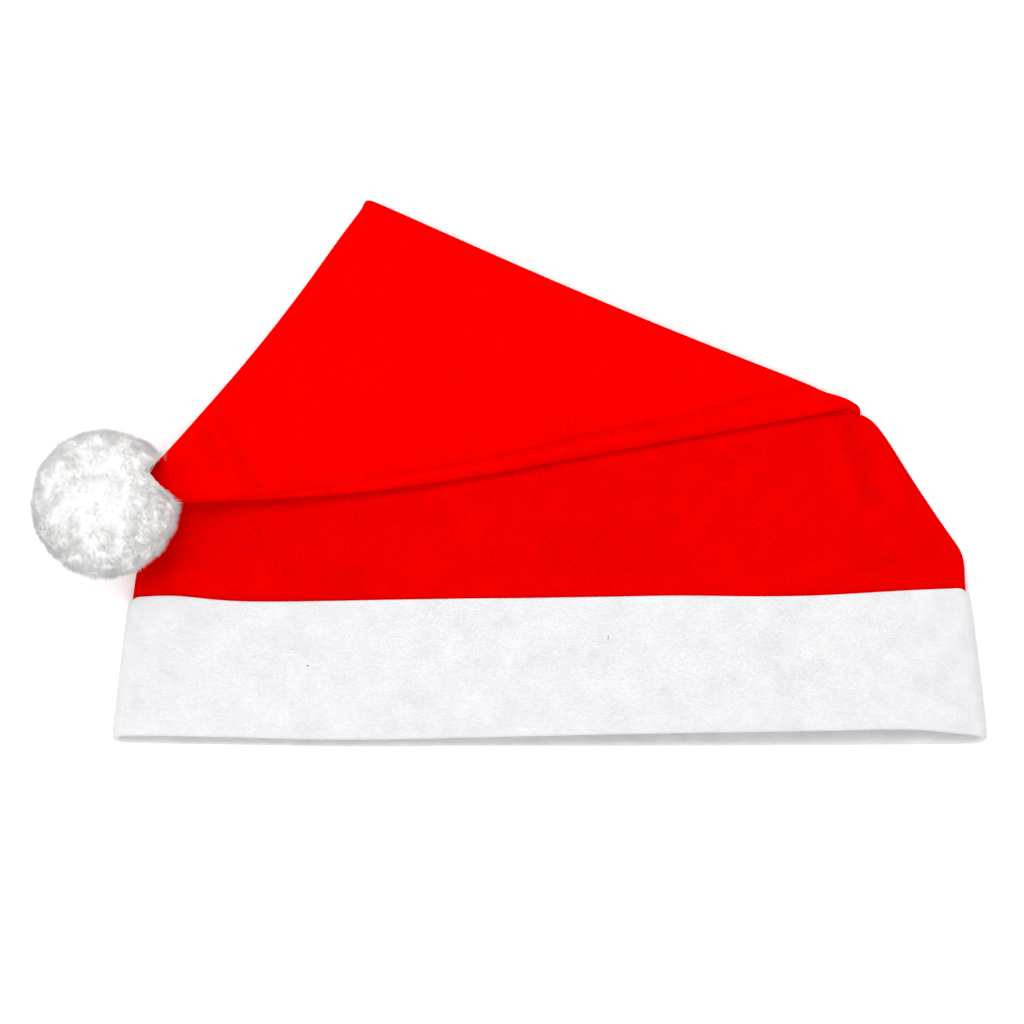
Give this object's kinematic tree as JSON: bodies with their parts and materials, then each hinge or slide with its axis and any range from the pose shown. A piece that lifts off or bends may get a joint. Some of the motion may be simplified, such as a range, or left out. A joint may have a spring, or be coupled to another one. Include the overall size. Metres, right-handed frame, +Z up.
{
  "type": "santa hat",
  "caption": "Red felt santa hat with a doubled white felt cuff and a white yarn pompom, lying flat with its tip folded over.",
  "frame": {"origin": "middle of the outline of the hat as it lies, on the surface under it", "axes": "+X along the cuff, from the pompom's side to the other; +Y from the cuff to the fold; +Z up from the surface"},
  "size_m": [0.3148, 0.1804, 0.0471],
  "materials": {
    "red_felt": "matte felt with a short nap",
    "white_felt": "matte felt, lightly mottled",
    "white_yarn": "soft cut yarn"
  },
  "bodies": {
    "root": {"crown": "red_felt", "cuff": "white_felt", "pompom": "white_yarn"}
  },
  "joints": []
}
